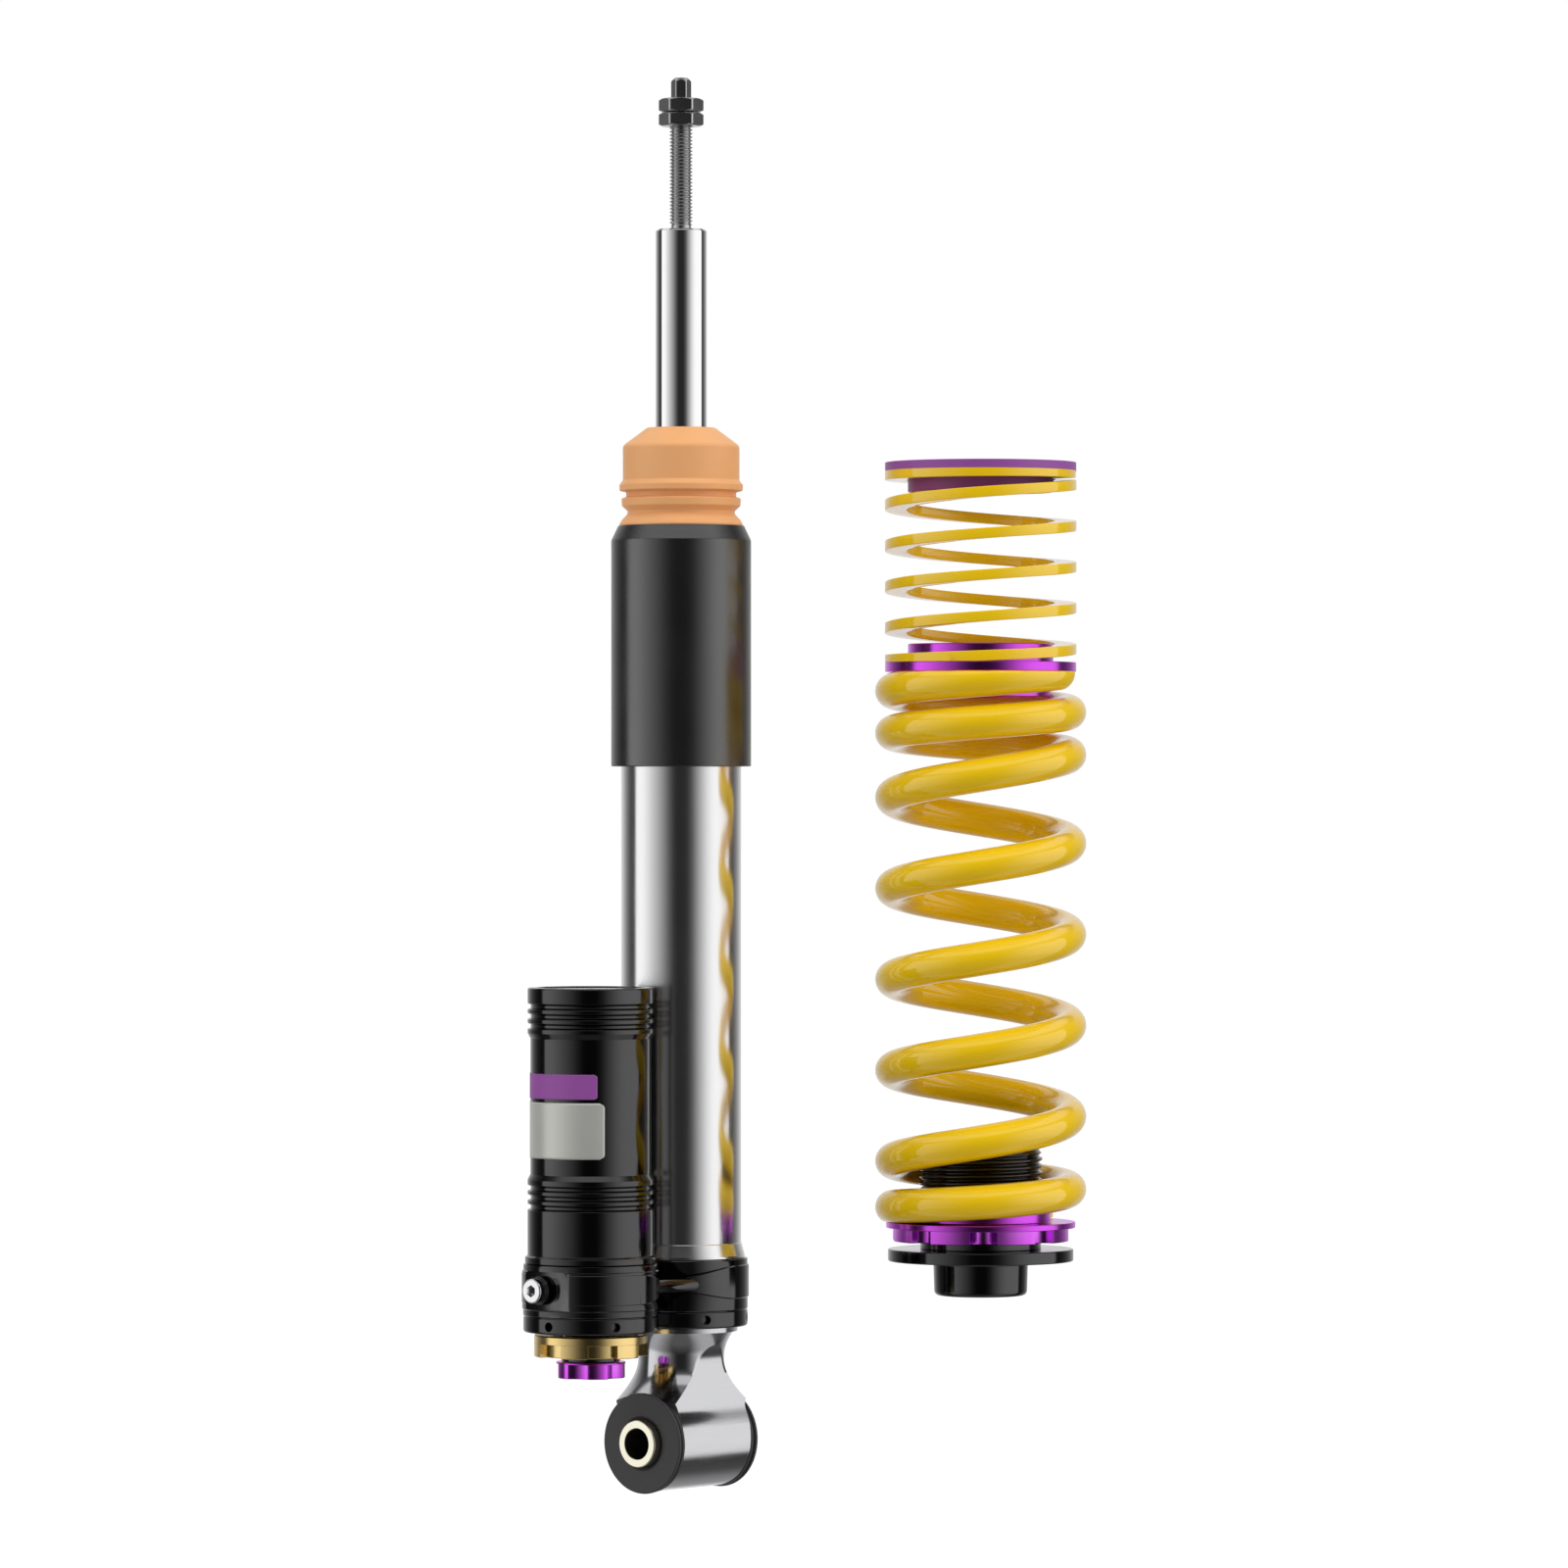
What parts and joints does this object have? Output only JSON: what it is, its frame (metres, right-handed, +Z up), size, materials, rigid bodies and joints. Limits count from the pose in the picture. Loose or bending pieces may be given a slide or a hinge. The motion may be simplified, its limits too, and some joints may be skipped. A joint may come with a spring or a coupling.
{
  "type": "coilover",
  "caption": "Rear damper with side oil reservoir, adjuster knobs and rubber-bushed lower eye, with a separate height-adjustable main and helper spring unit.",
  "frame": {"origin": "centre of the lower eye's bolt hole", "axes": "+Z up the damper axis, Y along the eye bolt with the reservoir on the -Y side, +X completes a right-handed frame; the spring unit's axis is parallel to Z at X 98 mm, Y 83 mm"},
  "size_m": [0.173, 0.2185, 0.6054],
  "materials": {
    "zinc_sleeve": "yellow zinc plated",
    "black_anodised": "gloss black anodised",
    "lug_steel": "polished and brushed steel",
    "rubber": "matt moulded rubber",
    "tube_steel": "polished stainless steel",
    "plain_steel": "machined steel",
    "silver_aluminium": "clear anodised",
    "bronze": "machined bronze",
    "label_foil": "plain silver foil",
    "zinc_screw": "bright zinc plated",
    "rod_chrome": "hard chrome plated",
    "stud_steel": "dark phosphated steel",
    "foam": "orange cellular foam",
    "cover_plastic": "satin black",
    "gold_anodised": "gold anodised",
    "purple_anodised": "gloss purple anodised",
    "purple_matt": "matt purple anodised",
    "yellow_coat": "gloss yellow powder coat"
  },
  "bodies": {
    "lower_anchor": {"eye_sleeve": "zinc_sleeve", "threaded_sleeve": "black_anodised"},
    "housing": {"eye_lug": "lug_steel", "bush_rubber": "rubber", "tube_lock_ring": "black_anodised", "base_block": "black_anodised", "damper_tube": "tube_steel", "inner_cylinder": "plain_steel", "base_valve": "bronze", "rod_guide": "silver_aluminium", "guide_bush": "bronze", "rod_seal": "rubber", "head_cap": "black_anodised", "reservoir_body": "black_anodised", "reservoir_end_cap": "silver_aluminium", "cap_circlip": "plain_steel", "gas_plug": "plain_steel", "blank_label": "label_foil", "reservoir_lock_ring": "black_anodised", "valve_body": "black_anodised", "fill_screw": "zinc_screw", "fill_screw_seal": "black_anodised"},
    "rod": {"piston_rod": "rod_chrome", "top_stud": "stud_steel", "rebound_stop": "rubber", "rebound_shims": "plain_steel", "main_piston": "silver_aluminium", "piston_band": "rubber", "compression_shims": "plain_steel", "piston_nut": "plain_steel"},
    "needle": {"rebound_needle": "bronze"},
    "nuts": {"lower_nut": "stud_steel", "upper_nut": "stud_steel"},
    "stop_and_cover": {"bump_stop": "foam", "dust_cover": "cover_plastic"},
    "gas_piston": {"floating_piston": "silver_aluminium", "floating_piston_seal": "rubber"},
    "large_knob": {"high_speed_knob": "gold_anodised"},
    "small_knob": {"low_speed_knob": "purple_anodised", "low_speed_spindle": "plain_steel"},
    "coil": {"main_spring": "yellow_coat"},
    "perch": {"adjuster_perch": "purple_anodised", "perch_set_screw": "plain_steel"},
    "separator": {"separator_ring": "purple_anodised", "helper_spring": "yellow_coat"},
    "top_seat": {"top_spring_seat": "purple_matt"}
  },
  "joints": [
    {"name": "eye_pivot", "type": "hinge", "parent": "lower_anchor", "child": "housing", "pos_m": [0, 0, 0], "axis": [0, 1, 0], "range_deg": [-8, 8], "stiffness_Nm_per_rad": 90},
    {"name": "rod_stroke", "type": "slide", "parent": "housing", "child": "rod", "axis": [0, 0, 1], "range_m": [-0.12, 0], "stiffness_N_per_m": 300, "springref_m": 0.6},
    {"name": "rebound_adjust", "type": "hinge", "parent": "rod", "child": "needle", "pos_m": [0, 0, 0.58], "axis": [0, 0, 1], "range_deg": [0, 320]},
    {"name": "nut_lift", "type": "slide", "parent": "rod", "child": "nuts", "axis": [0, 0, 1], "range_m": [0, 0.06]},
    {"name": "stop_slide", "type": "slide", "parent": "housing", "child": "stop_and_cover", "axis": [0, 0, 1], "range_m": [0, 0.085]},
    {"name": "gas_piston_slide", "type": "slide", "parent": "housing", "child": "gas_piston", "axis": [0, 0, 1], "range_m": [-0.001, 0.0295]},
    {"name": "high_speed_click", "type": "hinge", "parent": "housing", "child": "large_knob", "pos_m": [0, -0.0586, 0.044], "axis": [0, 0, 1], "range_deg": [0, 336]},
    {"name": "low_speed_click", "type": "hinge", "parent": "housing", "child": "small_knob", "pos_m": [0, -0.0586, 0.033], "axis": [0, 0, 1], "range_deg": [0, 180]},
    {"name": "perch_height", "type": "slide", "parent": "lower_anchor", "child": "coil", "axis": [0, 0, 1], "range_m": [-0.0018, 0.024]},
    {"name": "perch_turn", "type": "hinge", "parent": "coil", "child": "perch", "pos_m": [0.098, 0.083, 0.0923], "axis": [0, 0, 1], "range_deg": [-224, 2888]},
    {"name": "main_compress", "type": "slide", "parent": "coil", "child": "separator", "axis": [0, 0, 1], "range_m": [-0.09, 0], "stiffness_N_per_m": 150000, "deforming": ["main_spring"]},
    {"name": "helper_compress", "type": "slide", "parent": "separator", "child": "top_seat", "axis": [0, 0, 1], "range_m": [-0.055, 0], "stiffness_N_per_m": 8500, "deforming": ["helper_spring"]}
  ],
  "couplings": [
    {"joint": "gas_piston_slide", "follows": "rod_stroke", "ratio": -0.23901},
    {"joint": "perch_turn", "follows": "perch_height", "rad_per_m": 2094.4}
  ]
}
